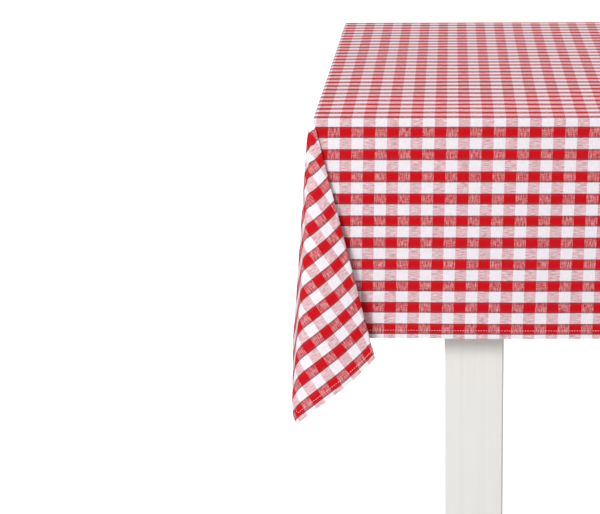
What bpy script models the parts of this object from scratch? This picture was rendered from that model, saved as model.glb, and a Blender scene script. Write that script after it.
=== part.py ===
"""Gingham tablecloth on a painted wooden table.

Units are metres, +Z is up, the floor is Z = 0 and the table's centre is X = Y = 0.
X runs along the table's length and its front faces -Y.
"""

import math

import bmesh
import bpy
from mathutils import Matrix, Vector

# ---------------------------------------------------------------- sizes
GAP = 0.0003                    # clearance between touching pieces

TABLE_LENGTH = 1.200
TABLE_WIDTH = 0.770
TABLE_HEIGHT = 0.750
TOP_THICKNESS = 0.025
TOP_EDGE_ROUND = 0.003

LEG_SIZE = 0.070
LEG_END_INSET = 0.148           # from the table's end to the leg
LEG_SIDE_INSET = 0.040          # from the table's long edge to the leg
LEG_EDGE_ROUND = 0.002

APRON_HEIGHT = 0.090
APRON_THICKNESS = 0.022
APRON_SETBACK = 0.008           # apron face behind the leg's outer face

TENON_LENGTH = 0.025
TENON_THICKNESS = 0.008
TENON_HEIGHT = 0.060

BLOCK_HEIGHT = 0.060
BLOCK_THICKNESS = 0.022
BLOCK_TOP_DROP = 0.015          # corner block below the table top's underside
BLOCK_LEG_CLEARANCE = 0.002     # the bolt draws the leg in across this gap
BLOCK_SEAT_DEPTH = 0.0099       # wood between a block screw's head and the block's end

BOLT_RADIUS = 0.004
BOLT_IN_LEG = 0.042
BOLT_BEYOND_NUT = 0.004
WASHER_RADIUS = 0.009
WASHER_THICKNESS = 0.0016
NUT_RADIUS = 0.0075             # across the corners
NUT_THICKNESS = 0.0065

SCREW_RADIUS = 0.002
SCREW_HEAD_RADIUS = 0.004
SCREW_HEAD_THICKNESS = 0.0025
SCREW_BITE = 0.016              # length in the piece it holds

RAIL_THICKNESS = 0.022
RAIL_HEIGHT = 0.060
RAIL_SCREW_SPACING = 0.030
RAIL_SCREW_BITE = 0.026

BUTTON_LENGTH = 0.034
BUTTON_WIDTH = 0.024
BUTTON_HEIGHT = 0.018
TONGUE_LENGTH = 0.009
TONGUE_HEIGHT = 0.008
SLOT_CLEARANCE = 0.001
BUTTON_PITCH = 0.360            # between the two buttons of a long apron

GLIDE_RADIUS = 0.015
GLIDE_THICKNESS = 0.005
GLIDE_EDGE = 0.001
NAIL_RADIUS = 0.0015
NAIL_HEAD_RADIUS = 0.004
NAIL_HEAD_THICKNESS = 0.0012
NAIL_HEAD_RECESS = 0.0015       # head above the floor
NAIL_LENGTH = 0.022

CLOTH_THICKNESS = 0.001
CLOTH_CLEARANCE = 0.0008        # drops stand this far off the table's edges
CLOTH_DROP_FRONT = 0.2627
CLOTH_DROP_REAR = 0.2673
CLOTH_DROP_END = 0.2174

# The hanging corner is a cone from the table's corner.  Its front crease, its tip and
# its side crease lean at these slopes (sideways travel for each metre down).
FRONT_CREASE_SLOPE = 0.257
END_CREASE_SLOPE = 0.505
TIP_OUT_SLOPE = 0.076
TIP_BACK_SLOPE = 0.090
CREASE_PROUD_SLOPE = 0.024      # the folded layers' depth at a crease
TIP_STRETCH = 1.06              # woven cloth gives on the bias
FLAP_WALL_SLOPE = 0.006         # thickness of the flap's wall
FLAP_START = 0.006              # the cone starts this far below the top
# plan of the hanging corner between its creases, a metre down: (along the front, backwards)
FRONT_BENDS = ((0.020, -0.034), (-0.045, -0.012), (-0.070, 0.035))
END_BENDS = ((-0.065, 0.160), (-0.034, 0.300))
CREASE_ROUND_SLOPE = 0.012      # the crease's outer edge turns back by this
FRONT_CREASE_CLOTH = 1.0645     # cloth down a crease to the hem, for each unit of drop
END_CREASE_CLOTH = 1.13

ROUND_SIDES = 12
GLIDE_SIDES = 24
OVERSHOOT = 0.010               # cutters run this far past the faces they cut

# ---------------------------------------------------------------- worked out
TOP_UNDERSIDE = TABLE_HEIGHT - TOP_THICKNESS
WOOD_TOP = TOP_UNDERSIDE - GAP
LEG_X = TABLE_LENGTH / 2 - LEG_END_INSET - LEG_SIZE / 2
LEG_Y = TABLE_WIDTH / 2 - LEG_SIDE_INSET - LEG_SIZE / 2
LEG_BOTTOM = GLIDE_THICKNESS + GAP
APRON_LINE = LEG_SIZE / 2 - APRON_SETBACK - APRON_THICKNESS / 2   # leg centre to apron centre
LONG_APRON_Y = LEG_Y + APRON_LINE
END_APRON_X = LEG_X + APRON_LINE
APRON_Z = WOOD_TOP - APRON_HEIGHT / 2
BLOCK_Z = WOOD_TOP - BLOCK_TOP_DROP - BLOCK_HEIGHT / 2
CORNERS = {
    "front_left": (-1, -1),
    "front_right": (1, -1),
    "rear_left": (-1, 1),
    "rear_right": (1, 1),
}

for old in list(bpy.data.objects):
    bpy.data.objects.remove(old)


# ---------------------------------------------------------------- helpers
def material(name, colour, roughness, metallic=0.0):
    made = bpy.data.materials.new(name)
    made.use_nodes = True
    shader = made.node_tree.nodes["Principled BSDF"]
    shader.inputs["Base Color"].default_value = (*colour, 1.0)
    shader.inputs["Roughness"].default_value = roughness
    shader.inputs["Metallic"].default_value = metallic
    made.diffuse_color = (*colour, 1.0)
    return made


COTTON = material("gingham_cotton", (0.62, 0.12, 0.13), 0.9)
PAINTED = material("white_painted_wood", (0.83, 0.82, 0.79), 0.5)
PINE = material("pine", (0.68, 0.47, 0.26), 0.6)
BEECH = material("beech", (0.60, 0.38, 0.20), 0.6)
STEEL = material("zinc_plated_steel", (0.55, 0.56, 0.58), 0.35, 1.0)
NYLON = material("nylon", (0.72, 0.72, 0.70), 0.5)


def add_object(name, mesh_builder, finish):
    """Turn a bmesh into a named object with one material."""
    bmesh.ops.recalc_face_normals(mesh_builder, faces=mesh_builder.faces)
    mesh = bpy.data.meshes.new(name)
    mesh_builder.to_mesh(mesh)
    mesh_builder.free()
    made = bpy.data.objects.new(name, mesh)
    bpy.context.scene.collection.objects.link(made)
    made.data.materials.append(finish)
    return made


def add_box(builder, centre, size):
    place = Matrix.Translation(centre) @ Matrix.Diagonal((*size, 1.0))
    return bmesh.ops.create_cube(builder, size=1.0, matrix=place)["verts"]


def add_rod(builder, start, axis, length, radius, sides=ROUND_SIDES):
    """A straight round bar from start along axis."""
    direction = Vector(axis).normalized()
    turn = direction.to_track_quat("Z", "Y").to_matrix().to_4x4()
    place = Matrix.Translation(Vector(start) + direction * length / 2) @ turn
    bmesh.ops.create_cone(builder, cap_ends=True, segments=sides, radius1=radius,
                          radius2=radius, depth=length, matrix=place)


def add_turned(builder, base, axis, profile, hollow=False, sides=ROUND_SIDES):
    """A turned piece from (radius, distance along axis) points. Flat faces close its two
    ends; a hollow piece is closed by its bore instead."""
    direction = Vector(axis).normalized()
    place = Matrix.Translation(base) @ direction.to_track_quat("Z", "Y").to_matrix().to_4x4()
    rings = []
    for radius, along in profile:
        ring = []
        for step in range(sides):
            angle = 2 * math.pi * step / sides
            point = Vector((radius * math.cos(angle), radius * math.sin(angle), along))
            ring.append(builder.verts.new(place @ point))
        rings.append(ring)
    if hollow:
        rings.append(rings[0])
    else:
        builder.faces.new(rings[0])
        builder.faces.new(rings[-1])
    for lower, upper in zip(rings, rings[1:]):
        for step in range(sides):
            after = (step + 1) % sides
            builder.faces.new((lower[step], lower[after], upper[after], upper[step]))


def add_screw(builder, seat, axis, shank):
    """A pan-head screw: its head stands behind seat, its shank runs on along axis."""
    add_turned(builder, seat, axis,
               [(SCREW_HEAD_RADIUS * 0.7, -SCREW_HEAD_THICKNESS),
                (SCREW_HEAD_RADIUS, -SCREW_HEAD_THICKNESS / 2),
                (SCREW_HEAD_RADIUS, 0), (SCREW_RADIUS, 0), (SCREW_RADIUS, shank)])


def add_counterbore(builder, seat, axis, depth):
    """One stepped hole: wide enough for a screw's head up to seat, for its shank beyond."""
    head, shank = SCREW_HEAD_RADIUS + GAP, SCREW_RADIUS + GAP
    add_turned(builder, seat, axis, [(head, -depth), (head, 0), (shank, 0), (shank, depth)])


def add_cutter(name, builder):
    """An object that only cuts or joins: it is not part of the table."""
    cutter = add_object(name, builder, PINE)
    cutter.hide_render = True
    cutter.display_type = "WIRE"
    return cutter


def boolean(target, tool, operation="DIFFERENCE"):
    step = target.modifiers.new(operation.lower(), "BOOLEAN")
    step.operation = operation
    step.solver = "EXACT"
    step.object = tool


def bevel(target, width):
    step = target.modifiers.new("bevel", "BEVEL")
    step.width = width
    step.segments = 1
    step.limit_method = "ANGLE"
    step.angle_limit = math.radians(50)


def smooth_rounds(target):
    target.data.shade_smooth()
    target.data.set_sharp_from_angle(angle=math.radians(40))


# ---------------------------------------------------------------- what is bored and slotted
def tenon_places():
    """Each tenon as (name of its apron, point on the leg's face, axis into the leg)."""
    for side_x, side_y in CORNERS.values():
        long_apron = "front" if side_y < 0 else "rear"
        end_apron = "left" if side_x < 0 else "right"
        yield long_apron, Vector((side_x * (LEG_X - LEG_SIZE / 2), side_y * LONG_APRON_Y, APRON_Z)), \
            Vector((side_x, 0, 0))
        yield end_apron, Vector((side_x * END_APRON_X, side_y * (LEG_Y - LEG_SIZE / 2), APRON_Z)), \
            Vector((0, side_y, 0))


def tenon_box(face, axis, root, clearance):
    """Centre and size of a tenon, or of its mortise, from root before the leg's face."""
    along = Vector((abs(axis.x), abs(axis.y), 0))
    across = Vector((abs(axis.y), abs(axis.x), 0))
    length = root + TENON_LENGTH + clearance
    centre = face + axis * (length / 2 - root)
    width = TENON_THICKNESS + 2 * clearance
    return centre, along * length + across * width + Vector((0, 0, TENON_HEIGHT + 2 * clearance))


def bolt_line(side_x, side_y):
    """The hanger bolt's axis, and the leg's inner corner on it."""
    corner = Vector((side_x * (LEG_X - LEG_SIZE / 2), side_y * (LEG_Y - LEG_SIZE / 2), BLOCK_Z))
    inward = Vector((-side_x, -side_y, 0)).normalized()
    return corner, inward


BLOCK_BACK = BLOCK_LEG_CLEARANCE + BLOCK_THICKNESS       # leg corner to the block's far face
BOLT_LENGTH = BOLT_IN_LEG + BLOCK_BACK + WASHER_THICKNESS + NUT_THICKNESS + 3 * GAP + BOLT_BEYOND_NUT


def block_outline(side_x, side_y):
    """Plan of a corner block: its ends lie on the two aprons' inner faces."""
    face_y = side_y * (LONG_APRON_Y - APRON_THICKNESS / 2 - GAP)
    face_x = side_x * (END_APRON_X - APRON_THICKNESS / 2 - GAP)
    corner, inward = bolt_line(side_x, side_y)
    outline = []
    for distance, order in ((BLOCK_LEG_CLEARANCE, 1), (BLOCK_BACK, -1)):
        middle = corner + inward * distance
        # the slanted face runs along (side_x, -side_y) through middle
        to_long = Vector((middle.x - side_x * abs(face_y - middle.y), face_y, 0))
        to_end = Vector((face_x, middle.y - side_y * abs(face_x - middle.x), 0))
        outline += [to_long, to_end][::order]
    return outline


def block_screws(side_x, side_y):
    """Each corner block's two screws as (seat, axis): one into each apron."""
    near_long, near_end, far_end, far_long = block_outline(side_x, side_y)
    height = Vector((0, 0, BLOCK_Z + BLOCK_HEIGHT / 4))
    depth = Vector((0, side_y * BLOCK_SEAT_DEPTH, 0))
    yield (near_long + far_long) / 2 - depth + height, Vector((0, side_y, 0))
    height = Vector((0, 0, BLOCK_Z - BLOCK_HEIGHT / 4))
    depth = Vector((side_x * BLOCK_SEAT_DEPTH, 0, 0))
    yield (near_end + far_end) / 2 - depth + height, Vector((side_x, 0, 0))


def button_places():
    """Each button as (point on the apron's inner face, direction away from that apron)."""
    inner_y = LONG_APRON_Y - APRON_THICKNESS / 2
    inner_x = END_APRON_X - APRON_THICKNESS / 2
    for side_x, side_y in CORNERS.values():
        yield Vector((side_x * BUTTON_PITCH / 2, side_y * inner_y, 0)), Vector((0, -side_y, 0))
    for side_x in (-1, 1):
        yield Vector((side_x * inner_x, 0, 0)), Vector((-side_x, 0, 0))


def button_boxes(face, away, clearance):
    """Centre and size of a button's tongue, which goes into the apron."""
    across = Vector((abs(away.y), abs(away.x), 0))
    along = Vector((abs(away.x), abs(away.y), 0))
    up = Vector((0, 0, 1))
    tongue_z = WOOD_TOP - BUTTON_HEIGHT + TONGUE_HEIGHT / 2
    reach = OVERSHOOT + TONGUE_LENGTH + clearance
    centre = face + away * (OVERSHOOT - reach / 2) + up * tongue_z
    size = across * (BUTTON_WIDTH + 2 * clearance) + along * reach + up * (TONGUE_HEIGHT + 2 * clearance)
    return centre, size


def rail_screws():
    """Cross rail screws as (seat, axis): through each long apron into the rail's end."""
    for side_y in (-1, 1):
        outer = side_y * (LONG_APRON_Y + APRON_THICKNESS / 2 + GAP)
        for level in (-0.5, 0.5):
            height = WOOD_TOP - RAIL_HEIGHT / 2 + level * RAIL_SCREW_SPACING
            yield Vector((0, outer, height)), Vector((0, -side_y, 0))


# ---------------------------------------------------------------- table top
def make_table_top():
    builder = bmesh.new()
    add_box(builder, (0, 0, TABLE_HEIGHT - TOP_THICKNESS / 2), (TABLE_LENGTH, TABLE_WIDTH, TOP_THICKNESS))
    top = add_object("table_top", builder, PAINTED)
    bevel(top, TOP_EDGE_ROUND)
    holes = bmesh.new()
    for face, away in button_places():
        seat = face + away * BUTTON_LENGTH / 2
        start = Vector((seat.x, seat.y, TOP_UNDERSIDE - OVERSHOOT))
        add_rod(holes, start, (0, 0, 1), OVERSHOOT + SCREW_BITE + GAP, SCREW_RADIUS + GAP)
    boolean(top, add_cutter("cut_top_holes", holes))


# ---------------------------------------------------------------- legs
def make_leg(name, side_x, side_y):
    builder = bmesh.new()
    height = WOOD_TOP - LEG_BOTTOM
    add_box(builder, (side_x * LEG_X, side_y * LEG_Y, LEG_BOTTOM + height / 2), (LEG_SIZE, LEG_SIZE, height))
    leg = add_object("leg_" + name, builder, PAINTED)
    bevel(leg, LEG_EDGE_ROUND)
    holes = bmesh.new()
    for _, face, axis in tenon_places():
        if face.x * side_x > 0 and face.y * side_y > 0:
            add_box(holes, *tenon_box(face, axis, LEG_EDGE_ROUND, GAP))
    corner, inward = bolt_line(side_x, side_y)
    add_rod(holes, corner - inward * (BOLT_IN_LEG + GAP), inward, BOLT_IN_LEG + OVERSHOOT, BOLT_RADIUS + GAP)
    nail_top = NAIL_HEAD_RECESS + NAIL_LENGTH + GAP
    add_rod(holes, (side_x * LEG_X, side_y * LEG_Y, 0), (0, 0, 1), nail_top, NAIL_RADIUS + GAP)
    boolean(leg, add_cutter("cut_leg_" + name, holes))


# ---------------------------------------------------------------- aprons and cross rail
def make_apron(name, centre, size):
    builder = bmesh.new()
    add_box(builder, centre, size)
    apron = add_object("apron_" + name, builder, PAINTED)
    low = [centre[i] - size[i] / 2 for i in range(3)]
    high = [centre[i] + size[i] / 2 for i in range(3)]

    def within(point):
        return all(low[i] < point[i] < high[i] for i in range(3))

    tenons = bmesh.new()
    for owner, face, axis in tenon_places():
        if owner == name:
            add_box(tenons, *tenon_box(face, axis, OVERSHOOT, 0))
    boolean(apron, add_cutter("join_tenons_" + name, tenons), "UNION")
    holes = bmesh.new()
    for side_x, side_y in CORNERS.values():
        for seat, axis in block_screws(side_x, side_y):
            if within(seat + axis * block_screw_shank()):
                add_rod(holes, seat, axis, block_screw_shank() + GAP, SCREW_RADIUS + GAP)
    for face, away in button_places():
        if within(face - away * TONGUE_LENGTH / 2 + Vector((0, 0, APRON_Z))):
            add_box(holes, *button_boxes(face, away, SLOT_CLEARANCE))
    for seat, axis in rail_screws():
        if within(seat + axis * APRON_THICKNESS / 2):
            add_rod(holes, seat - axis * OVERSHOOT, axis, APRON_THICKNESS + 2 * OVERSHOOT,
                    SCREW_RADIUS + GAP)
    boolean(apron, add_cutter("cut_apron_" + name, holes))


def block_screw_shank():
    """Shank length that bites SCREW_BITE into the apron."""
    near_long, _, _, far_long = block_outline(1, 1)
    seat_to_face = abs((near_long + far_long).y / 2 - (LONG_APRON_Y - APRON_THICKNESS / 2))
    return seat_to_face + BLOCK_SEAT_DEPTH + SCREW_BITE


def make_aprons():
    long_size = (2 * (LEG_X - LEG_SIZE / 2 - GAP), APRON_THICKNESS, APRON_HEIGHT)
    end_size = (APRON_THICKNESS, 2 * (LEG_Y - LEG_SIZE / 2 - GAP), APRON_HEIGHT)
    make_apron("front", (0, -LONG_APRON_Y, APRON_Z), long_size)
    make_apron("rear", (0, LONG_APRON_Y, APRON_Z), long_size)
    make_apron("left", (-END_APRON_X, 0, APRON_Z), end_size)
    make_apron("right", (END_APRON_X, 0, APRON_Z), end_size)


def make_cross_rail():
    length = 2 * (LONG_APRON_Y - APRON_THICKNESS / 2 - GAP)
    builder = bmesh.new()
    add_box(builder, (0, 0, WOOD_TOP - RAIL_HEIGHT / 2), (RAIL_THICKNESS, length, RAIL_HEIGHT))
    rail = add_object("cross_rail", builder, PINE)
    holes = bmesh.new()
    for seat, axis in rail_screws():
        shank = APRON_THICKNESS + GAP + RAIL_SCREW_BITE
        add_rod(holes, seat + axis * APRON_THICKNESS / 2, axis, shank - APRON_THICKNESS / 2 + 2 * GAP,
                SCREW_RADIUS + GAP)
    boolean(rail, add_cutter("cut_cross_rail", holes))


# ---------------------------------------------------------------- corner blocks and hanger bolts
def make_corner_block(name, side_x, side_y):
    builder = bmesh.new()
    low = BLOCK_Z - BLOCK_HEIGHT / 2
    outline = [builder.verts.new((point.x, point.y, low)) for point in block_outline(side_x, side_y)]
    floor = builder.faces.new(outline)
    pushed = bmesh.ops.extrude_face_region(builder, geom=[floor])["geom"]
    raised = [item for item in pushed if isinstance(item, bmesh.types.BMVert)]
    bmesh.ops.translate(builder, verts=raised, vec=(0, 0, BLOCK_HEIGHT))
    block = add_object("corner_block_" + name, builder, PINE)
    holes = bmesh.new()
    corner, inward = bolt_line(side_x, side_y)
    add_rod(holes, corner - inward * OVERSHOOT, inward, BLOCK_BACK + 2 * OVERSHOOT, BOLT_RADIUS + GAP)
    for seat, axis in block_screws(side_x, side_y):
        add_counterbore(holes, seat, axis, BLOCK_THICKNESS * 2)
    boolean(block, add_cutter("cut_corner_block_" + name, holes))


def make_hanger_bolt(name, side_x, side_y):
    corner, inward = bolt_line(side_x, side_y)
    bolt, washer, nut = bmesh.new(), bmesh.new(), bmesh.new()
    add_rod(bolt, corner - inward * BOLT_IN_LEG, inward, BOLT_LENGTH, BOLT_RADIUS)
    smooth_rounds(add_object("hanger_bolt_" + name, bolt, STEEL))
    hole = BOLT_RADIUS + GAP
    seat = BLOCK_BACK + GAP
    add_turned(washer, corner + inward * seat, inward,
               [(hole, 0), (WASHER_RADIUS, 0), (WASHER_RADIUS, WASHER_THICKNESS), (hole, WASHER_THICKNESS)],
               hollow=True)
    smooth_rounds(add_object("washer_" + name, washer, STEEL))
    seat += WASHER_THICKNESS + GAP
    add_rod(nut, corner + inward * seat, inward, NUT_THICKNESS, NUT_RADIUS, sides=6)
    thread = bmesh.new()
    add_rod(thread, corner, inward, BOLT_LENGTH, hole)
    boolean(add_object("nut_" + name, nut, STEEL), add_cutter("cut_nut_" + name, thread))
    for end, (place, axis) in zip(("long", "end"), block_screws(side_x, side_y)):
        screw = bmesh.new()
        add_screw(screw, place - axis * GAP, axis, block_screw_shank())
        smooth_rounds(add_object("block_screw_" + name + "_" + end, screw, STEEL))


# ---------------------------------------------------------------- buttons that hold the top down
def make_buttons():
    up = Vector((0, 0, 1))
    names = list(CORNERS) + ["end_left", "end_right"]
    for name, (face, away) in zip(names, button_places()):
        across = Vector((abs(away.y), abs(away.x), 0)) * BUTTON_WIDTH / 2
        start = face + away * SLOT_CLEARANCE
        tip = face - away * TONGUE_LENGTH
        end = face + away * BUTTON_LENGTH
        low = WOOD_TOP - BUTTON_HEIGHT
        # side view, from the tongue's end round to the body
        side = [(tip, low), (tip, low + TONGUE_HEIGHT), (start, low + TONGUE_HEIGHT), (start, WOOD_TOP),
                (end, WOOD_TOP), (end, low)]
        builder = bmesh.new()
        outline = [builder.verts.new(point - across + up * level) for point, level in side]
        flank = builder.faces.new(outline)
        pushed = bmesh.ops.extrude_face_region(builder, geom=[flank])["geom"]
        moved = [item for item in pushed if isinstance(item, bmesh.types.BMVert)]
        bmesh.ops.translate(builder, verts=moved, vec=across * 2)
        button = add_object("top_button_" + name, builder, BEECH)
        hole = bmesh.new()
        middle = face + away * BUTTON_LENGTH / 2
        add_rod(hole, middle + up * (low - OVERSHOOT), up, BUTTON_HEIGHT + 2 * OVERSHOOT,
                SCREW_RADIUS + GAP)
        boolean(button, add_cutter("cut_top_button_" + name, hole))
        screw = bmesh.new()
        add_screw(screw, middle + up * (low - GAP), up, BUTTON_HEIGHT + GAP + SCREW_BITE)
        smooth_rounds(add_object("button_screw_" + name, screw, STEEL))


def make_rail_screws():
    names = ("front_low", "front_high", "rear_low", "rear_high")
    for name, (seat, axis) in zip(names, rail_screws()):
        screw = bmesh.new()
        add_screw(screw, seat, axis, APRON_THICKNESS + GAP + RAIL_SCREW_BITE)
        smooth_rounds(add_object("rail_screw_" + name, screw, STEEL))


# ---------------------------------------------------------------- feet
def make_glide(name, side_x, side_y):
    recess = NAIL_HEAD_RECESS + NAIL_HEAD_THICKNESS + GAP
    head = NAIL_HEAD_RADIUS + GAP
    hole = NAIL_RADIUS + GAP
    base = Vector((side_x * LEG_X, side_y * LEG_Y, 0))
    glide = bmesh.new()
    add_turned(glide, base, (0, 0, 1),
               [(head, 0), (GLIDE_RADIUS - GLIDE_EDGE, 0), (GLIDE_RADIUS, GLIDE_EDGE), (GLIDE_RADIUS, GLIDE_THICKNESS),
                (hole, GLIDE_THICKNESS), (hole, recess), (head, recess)],
               hollow=True, sides=GLIDE_SIDES)
    smooth_rounds(add_object("glide_" + name, glide, NYLON))
    nail = bmesh.new()
    foot = base + Vector((0, 0, NAIL_HEAD_RECESS))
    add_rod(nail, foot, (0, 0, 1), NAIL_HEAD_THICKNESS, NAIL_HEAD_RADIUS)
    made = add_object("glide_nail_" + name, nail, STEEL)
    shank = bmesh.new()
    add_rod(shank, foot + Vector((0, 0, NAIL_HEAD_THICKNESS / 2)), (0, 0, 1),
            NAIL_LENGTH - NAIL_HEAD_THICKNESS / 2, NAIL_RADIUS)
    boolean(made, add_cutter("join_nail_" + name, shank), "UNION")


# ---------------------------------------------------------------- tablecloth
def flap_plan(front_drop):
    """Plan of the hanging corner at one metre down, as (along the front, out from the end,
    length of cloth down that fold line) points from the front crease round to the side crease.
    The table's corner is the origin, +x runs along the front edge, +y back along the end."""
    tip_length = math.hypot(front_drop, CLOTH_DROP_END) * TIP_STRETCH
    tip = Vector((-TIP_OUT_SLOPE, TIP_BACK_SLOPE))
    front_crease = Vector((FRONT_CREASE_SLOPE, 0.0))
    end_crease = Vector((0.0, END_CREASE_SLOPE))
    front_length = front_drop * FRONT_CREASE_CLOTH
    end_length = CLOTH_DROP_END * END_CREASE_CLOTH
    bend = [
        front_crease,
        front_crease + Vector((-CREASE_ROUND_SLOPE, -CREASE_PROUD_SLOPE)),
        *(Vector(bend) for bend in FRONT_BENDS),
        tip,
        *(Vector(bend) for bend in END_BENDS),
        end_crease + Vector((-CREASE_PROUD_SLOPE, -CREASE_ROUND_SLOPE)),
        end_crease,
    ]
    spots = []
    tip_index = bend.index(tip)
    for index, point in enumerate(bend):
        if index <= tip_index:
            share = (front_crease - point).length / (front_crease - tip).length
            length = 1 / ((1 - share) / front_length + share / tip_length)
        else:
            share = (end_crease - point).length / (end_crease - tip).length
            length = 1 / ((1 - share) / end_length + share / tip_length)
        spots.append((point, length))
    return spots


def make_flap(name, side_x, side_y, front_drop):
    """One hanging corner: a bent cone wall that grows thicker away from the table's corner."""
    builder = bmesh.new()
    edge = CLOTH_CLEARANCE + CLOTH_THICKNESS / 2
    apex = Vector((side_x * (TABLE_LENGTH / 2 + edge), side_y * (TABLE_WIDTH / 2 + edge),
                   TABLE_HEIGHT + CLOTH_THICKNESS / 2))
    spots = flap_plan(front_drop)
    points = [point for point, _ in spots]
    walls = []
    for inward in (0.0, FLAP_WALL_SLOPE):
        wall = []
        for index, (point, length) in enumerate(spots):
            before = points[max(index - 1, 0)]
            after = points[min(index + 1, len(points) - 1)]
            run = (after - before).normalized()
            moved = point + Vector((run.y, -run.x)) * -inward
            ray = Vector((-side_x * moved.x, -side_y * moved.y, -1.0))
            steep = math.sqrt(1 + point.length_squared)
            wall.append((builder.verts.new(apex + ray * FLAP_START),
                         builder.verts.new(apex + ray * length / steep)))
        walls.append(wall)
    outer, inner = walls
    for first, second in zip(range(len(points) - 1), range(1, len(points))):
        builder.faces.new((outer[first][0], outer[second][0], outer[second][1], outer[first][1]))
        builder.faces.new((inner[first][0], inner[first][1], inner[second][1], inner[second][0]))
        builder.faces.new((outer[first][1], outer[second][1], inner[second][1], inner[first][1]))
        builder.faces.new((outer[second][0], outer[first][0], inner[first][0], inner[second][0]))
    for end in (0, -1):
        builder.faces.new((outer[end][0], outer[end][1], inner[end][1], inner[end][0]))
    return add_cutter("join_flap_" + name, builder)


def make_tablecloth():
    inner_x = TABLE_LENGTH / 2 + CLOTH_CLEARANCE
    inner_y = TABLE_WIDTH / 2 + CLOTH_CLEARANCE
    outer_x = inner_x + CLOTH_THICKNESS
    outer_y = inner_y + CLOTH_THICKNESS
    cloth_top = TABLE_HEIGHT + GAP + CLOTH_THICKNESS
    deepest = max(CLOTH_DROP_FRONT, CLOTH_DROP_REAR)

    builder = bmesh.new()
    height = deepest + GAP + CLOTH_THICKNESS
    add_box(builder, (0, 0, cloth_top - height / 2), (2 * outer_x, 2 * outer_y, height))
    cloth = add_object("tablecloth", builder, COTTON)

    inside = bmesh.new()
    inside_height = TABLE_HEIGHT + GAP - (cloth_top - height - OVERSHOOT)
    add_box(inside, (0, 0, TABLE_HEIGHT + GAP - inside_height / 2), (2 * inner_x, 2 * inner_y, inside_height))
    boolean(cloth, add_cutter("cut_cloth_inside", inside))

    for side_y, drop in ((-1, CLOTH_DROP_FRONT), (1, CLOTH_DROP_REAR)):
        if drop < deepest:
            hem = bmesh.new()
            add_box(hem, (0, side_y * outer_y, TABLE_HEIGHT - drop - OVERSHOOT),
                    (2 * outer_x + OVERSHOOT, OVERSHOOT, 2 * OVERSHOOT))
            boolean(cloth, add_cutter("cut_long_hem", hem))
    end_hems = bmesh.new()
    for side_x in (-1, 1):
        add_box(end_hems, (side_x * outer_x, 0, TABLE_HEIGHT - CLOTH_DROP_END - deepest / 2),
                (OVERSHOOT, 2 * inner_y - GAP, deepest))
    boolean(cloth, add_cutter("cut_end_hems", end_hems))

    for name, (side_x, side_y) in CORNERS.items():
        drop = CLOTH_DROP_FRONT if side_y < 0 else CLOTH_DROP_REAR
        boolean(cloth, make_flap(name, side_x, side_y, drop), "UNION")


make_table_top()
for corner_name, sides in CORNERS.items():
    make_leg(corner_name, *sides)
    make_corner_block(corner_name, *sides)
    make_hanger_bolt(corner_name, *sides)
    make_glide(corner_name, *sides)
make_aprons()
make_cross_rail()
make_buttons()
make_rail_screws()
make_tablecloth()
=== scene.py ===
# %% [markdown]
# # A gingham cloth on a painted wooden table
# The object is a plain four-legged table under a woven cotton cloth. The table's joinery comes
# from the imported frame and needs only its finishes. The look depends on the cloth: one flat,
# hemmed sheet, bent over the table's edges and folded at each corner, with its checks
# following every fold. So most of this lesson is about the cloth.

# %% Load the frame
import math

import bpy
import numpy as np
from mathutils import Matrix, Vector


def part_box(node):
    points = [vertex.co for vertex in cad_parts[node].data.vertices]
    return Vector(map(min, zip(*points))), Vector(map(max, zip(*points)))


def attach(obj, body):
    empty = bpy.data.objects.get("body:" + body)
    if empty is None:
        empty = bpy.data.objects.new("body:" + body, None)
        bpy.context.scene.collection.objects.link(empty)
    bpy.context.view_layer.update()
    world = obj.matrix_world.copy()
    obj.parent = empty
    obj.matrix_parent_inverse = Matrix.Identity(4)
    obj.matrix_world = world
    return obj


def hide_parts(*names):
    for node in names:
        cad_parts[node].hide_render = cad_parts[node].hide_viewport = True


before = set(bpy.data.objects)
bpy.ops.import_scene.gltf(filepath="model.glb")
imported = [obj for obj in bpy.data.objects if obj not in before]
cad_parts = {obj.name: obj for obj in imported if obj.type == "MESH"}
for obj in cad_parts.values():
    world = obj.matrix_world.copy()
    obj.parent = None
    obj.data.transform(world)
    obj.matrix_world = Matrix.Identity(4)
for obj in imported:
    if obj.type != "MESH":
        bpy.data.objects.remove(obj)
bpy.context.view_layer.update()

# %% [markdown]
# ## Sizes
# The table's sizes are read from the frame, so that the cloth fits it whatever happens there.
# The cloth's own sizes are those of the flat sheet: a whole number of checks each way, which is
# how such a cloth is cut, and a hem that is a little narrower than one stripe.

# %% Sizes in metres
top_low, top_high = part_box("table_top")
CHECK_U = 0.0268                     # one red and one white stripe, along the table
CHECK_V = 0.0260                     # the same across it: the cloth has shrunk a little
CLOTH_U = 61 * CHECK_U
CLOTH_V = 50 * CHECK_V
CLOTH_SHIFT = 0.0041                 # laid this much nearer the rear
CHECKS_SHIFT = (0.0006, 0.0013)      # each cut misses the middle of a white stripe by this
CLOTH_THICK = 0.0004
HEM_WIDTH = 0.011
HEM_LAYERS = 3                       # folded over twice
BEND = 0.002                         # the cloth bends over the table's edge on this radius
CLEARANCE = 0.0008                   # and hangs this far off it

REACH_X = top_high.x + CLEARANCE - BEND          # where the flat part of the cloth ends
REACH_Y = top_high.y + CLEARANCE - BEND
TOP_Z = top_high.z + 0.0005                      # middle of the cloth's thickness
DROP_END = CLOTH_U / 2 - REACH_X
DROP_FRONT = CLOTH_V / 2 - CLOTH_SHIFT - REACH_Y
DROP_REAR = CLOTH_V / 2 + CLOTH_SHIFT - REACH_Y
print(f"cloth {CLOTH_U * 1000:.0f} x {CLOTH_V * 1000:.0f} mm flat; it hangs "
      f"{DROP_FRONT * 1000:.0f} mm in front, {DROP_REAR * 1000:.0f} behind and "
      f"{DROP_END * 1000:.0f} at the ends")

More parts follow.
